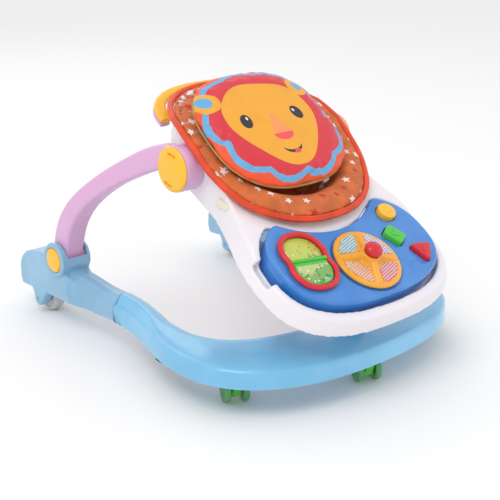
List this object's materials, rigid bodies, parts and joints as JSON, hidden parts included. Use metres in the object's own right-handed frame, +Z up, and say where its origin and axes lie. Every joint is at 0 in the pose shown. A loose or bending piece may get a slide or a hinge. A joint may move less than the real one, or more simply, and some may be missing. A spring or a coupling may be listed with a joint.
{
  "type": "baby walker",
  "caption": "Baby walker with a U-shaped rolling base, folding side arms, a tilting seat ring with padded cloth seat, and a lift-out play console.",
  "frame": {"origin": "on the floor, at the middle of the walker's outline", "axes": "+Z up, the child faces -Y, +X is the child's left"},
  "size_m": [0.552, 0.7279, 0.4675],
  "materials": {
    "sky_plastic": "moulded",
    "dusty_plastic": "moulded",
    "mauve_plastic": "moulded",
    "amber_plastic": "moulded",
    "white_plastic": "moulded",
    "royal_plastic": "moulded",
    "red_plastic": "moulded",
    "green_plastic": "moulded",
    "smoke_green_plastic": "clear moulded",
    "lime_plastic": "moulded",
    "rubber": "matte",
    "orange_cloth": "printed woven cloth",
    "edge_cloth": "bound edge",
    "face_cloth": "printed smooth cloth",
    "page_card": "printed card",
    "clip_plastic": "clear moulded",
    "board": "circuit board",
    "steel": "plain"
  },
  "bodies": {
    "base": {"base_front": "sky_plastic", "rear_foot_right": "dusty_plastic", "rear_foot_left": "dusty_plastic", "front_post": "sky_plastic", "post_pad": "rubber", "stopper_holder_right": "lime_plastic", "stopper_holder_left": "lime_plastic", "stopper_pad_right": "rubber", "stopper_pad_left": "rubber", "rear_axle_right": "steel", "rear_axle_left": "steel", "pivot_pin_right": "steel", "pivot_pin_left": "steel", "pivot_cap_right": "amber_plastic", "pivot_cap_left": "amber_plastic"},
    "arm_right_body": {"arm_right": "mauve_plastic", "hub_bolt_right": "steel"},
    "arm_left_body": {"arm_left": "mauve_plastic", "hub_bolt_left": "steel"},
    "knob_right": {"hub_knob_right": "amber_plastic"},
    "knob_left": {"hub_knob_left": "amber_plastic"},
    "seat_frame": {"seat_tray_body": "white_plastic", "push_handle": "amber_plastic", "push_handle_under": "mauve_plastic", "seat_rim": "edge_cloth", "seat_pad": "orange_cloth", "seat_clip_1": "clip_plastic", "seat_clip_2": "clip_plastic", "seat_clip_3": "clip_plastic", "seat_clip_4": "clip_plastic"},
    "cushion": {"head_cushion": "face_cloth"},
    "console": {"console_top": "royal_plastic", "console_back": "royal_plastic", "battery_door": "royal_plastic", "circuit_board": "board", "speaker": "rubber", "book_frame": "red_plastic", "book_page": "page_card", "dial_spindle": "white_plastic", "round_button_spring": "steel", "square_button_spring": "steel", "triangle_button_spring": "steel"},
    "dial": {"steering_dial": "amber_plastic"},
    "horn": {"horn_button": "red_plastic"},
    "page": {"page_flap": "green_plastic"},
    "round_key": {"round_button": "amber_plastic"},
    "square_key": {"square_button": "green_plastic"},
    "triangle_key": {"triangle_button": "red_plastic"},
    "rear_wheel_right_body": {"rear_wheel_right": "white_plastic"},
    "rear_wheel_left_body": {"rear_wheel_left": "white_plastic"},
    "castor_right": {"castor_fork_right": "green_plastic"},
    "castor_wheel_right_a_body": {"castor_wheel_right_a": "smoke_green_plastic"},
    "castor_wheel_right_b_body": {"castor_wheel_right_b": "smoke_green_plastic"},
    "castor_left": {"castor_fork_left": "green_plastic"},
    "castor_wheel_left_a_body": {"castor_wheel_left_a": "smoke_green_plastic"},
    "castor_wheel_left_b_body": {"castor_wheel_left_b": "smoke_green_plastic"},
    "castor_front": {"castor_fork_front": "green_plastic"},
    "castor_wheel_front_a_body": {"castor_wheel_front_a": "smoke_green_plastic"},
    "castor_wheel_front_b_body": {"castor_wheel_front_b": "smoke_green_plastic"}
  },
  "joints": [
    {"name": "arm_right_lift", "type": "hinge", "parent": "base", "child": "arm_right_body", "pos_m": [-0.229, 0.228, 0.126], "axis": [1, 0, 0], "range_deg": [-25, 0]},
    {"name": "arm_left_lift", "type": "hinge", "parent": "base", "child": "arm_left_body", "pos_m": [0.229, 0.228, 0.126], "axis": [1, 0, 0], "range_deg": [-25, 0]},
    {"name": "seat_level", "type": "hinge", "parent": "arm_right_body", "child": "seat_frame", "pos_m": [-0.15, -0.034, 0.337], "axis": [1, 0, 0], "range_deg": [-31.5, 0]},
    {"name": "knob_right_turn", "type": "hinge", "parent": "arm_right_body", "child": "knob_right", "pos_m": [-0.187, -0.034, 0.337], "axis": [1, 0, 0], "range_deg": [-60, 60]},
    {"name": "knob_left_turn", "type": "hinge", "parent": "arm_left_body", "child": "knob_left", "pos_m": [0.187, -0.034, 0.337], "axis": [1, 0, 0], "range_deg": [-60, 60]},
    {"name": "cushion_lift", "type": "slide", "parent": "seat_frame", "child": "cushion", "axis": [0, -0.5225, 0.8526], "range_m": [0, 0.08]},
    {"name": "console_lift", "type": "slide", "parent": "seat_frame", "child": "console", "axis": [0, -0.5225, 0.8526], "range_m": [0, 0.06]},
    {"name": "dial_turn", "type": "hinge", "parent": "console", "child": "dial", "pos_m": [0, -0.29524, 0.2121], "axis": [0, -0.5225, 0.8526], "continuous": true},
    {"name": "horn_press", "type": "slide", "parent": "dial", "child": "horn", "axis": [0, -0.5225, 0.8526], "range_m": [-0.0024, 0], "stiffness_N_per_m": 250, "springref_m": 0.002},
    {"name": "round_press", "type": "slide", "parent": "console", "child": "round_key", "axis": [0, -0.5225, 0.8526], "range_m": [-0.002, 0], "stiffness_N_per_m": 250, "springref_m": 0.002},
    {"name": "square_press", "type": "slide", "parent": "console", "child": "square_key", "axis": [0, -0.5225, 0.8526], "range_m": [-0.002, 0], "stiffness_N_per_m": 250, "springref_m": 0.002},
    {"name": "triangle_press", "type": "slide", "parent": "console", "child": "triangle_key", "axis": [0, -0.5225, 0.8526], "range_m": [-0.002, 0], "stiffness_N_per_m": 250, "springref_m": 0.002},
    {"name": "page_turn", "type": "hinge", "parent": "console", "child": "page", "pos_m": [-0.1065, -0.2726, 0.23066], "axis": [0.9903, -0.1187, -0.0727], "range_deg": [-160, 0]},
    {"name": "castor_right_swivel", "type": "hinge", "parent": "base", "child": "castor_right", "pos_m": [-0.21, -0.223, 0.05], "axis": [0, 0, 1], "continuous": true},
    {"name": "castor_right_roll_a", "type": "hinge", "parent": "castor_right", "child": "castor_wheel_right_a_body", "pos_m": [-0.21786, -0.20389, 0.022], "axis": [0.9063, -0.4226, 0], "continuous": true},
    {"name": "castor_right_roll_b", "type": "hinge", "parent": "castor_right", "child": "castor_wheel_right_b_body", "pos_m": [-0.19031, -0.21674, 0.022], "axis": [0.9063, -0.4226, 0], "continuous": true},
    {"name": "castor_left_swivel", "type": "hinge", "parent": "base", "child": "castor_left", "pos_m": [0.21, -0.223, 0.05], "axis": [0, 0, 1], "continuous": true},
    {"name": "castor_left_roll_a", "type": "hinge", "parent": "castor_left", "child": "castor_wheel_left_a_body", "pos_m": [0.20214, -0.20389, 0.022], "axis": [0.9063, -0.4226, 0], "continuous": true},
    {"name": "castor_left_roll_b", "type": "hinge", "parent": "castor_left", "child": "castor_wheel_left_b_body", "pos_m": [0.22969, -0.21674, 0.022], "axis": [0.9063, -0.4226, 0], "continuous": true},
    {"name": "castor_front_swivel", "type": "hinge", "parent": "base", "child": "castor_front", "pos_m": [0, -0.308, 0.05], "axis": [0, 0, 1], "continuous": true},
    {"name": "castor_front_roll_a", "type": "hinge", "parent": "castor_front", "child": "castor_wheel_front_a_body", "pos_m": [-0.00786, -0.28889, 0.022], "axis": [0.9063, -0.4226, 0], "continuous": true},
    {"name": "castor_front_roll_b", "type": "hinge", "parent": "castor_front", "child": "castor_wheel_front_b_body", "pos_m": [0.01969, -0.30174, 0.022], "axis": [0.9063, -0.4226, 0], "continuous": true},
    {"name": "rear_wheel_right_roll", "type": "hinge", "parent": "base", "child": "rear_wheel_right_body", "pos_m": [-0.227, 0.301, 0.028], "axis": [1, 0, 0], "continuous": true},
    {"name": "rear_wheel_left_roll", "type": "hinge", "parent": "base", "child": "rear_wheel_left_body", "pos_m": [0.227, 0.301, 0.028], "axis": [1, 0, 0], "continuous": true}
  ],
  "couplings": [
    {"joint": "arm_left_lift", "follows": "arm_right_lift", "ratio": 1}
  ]
}
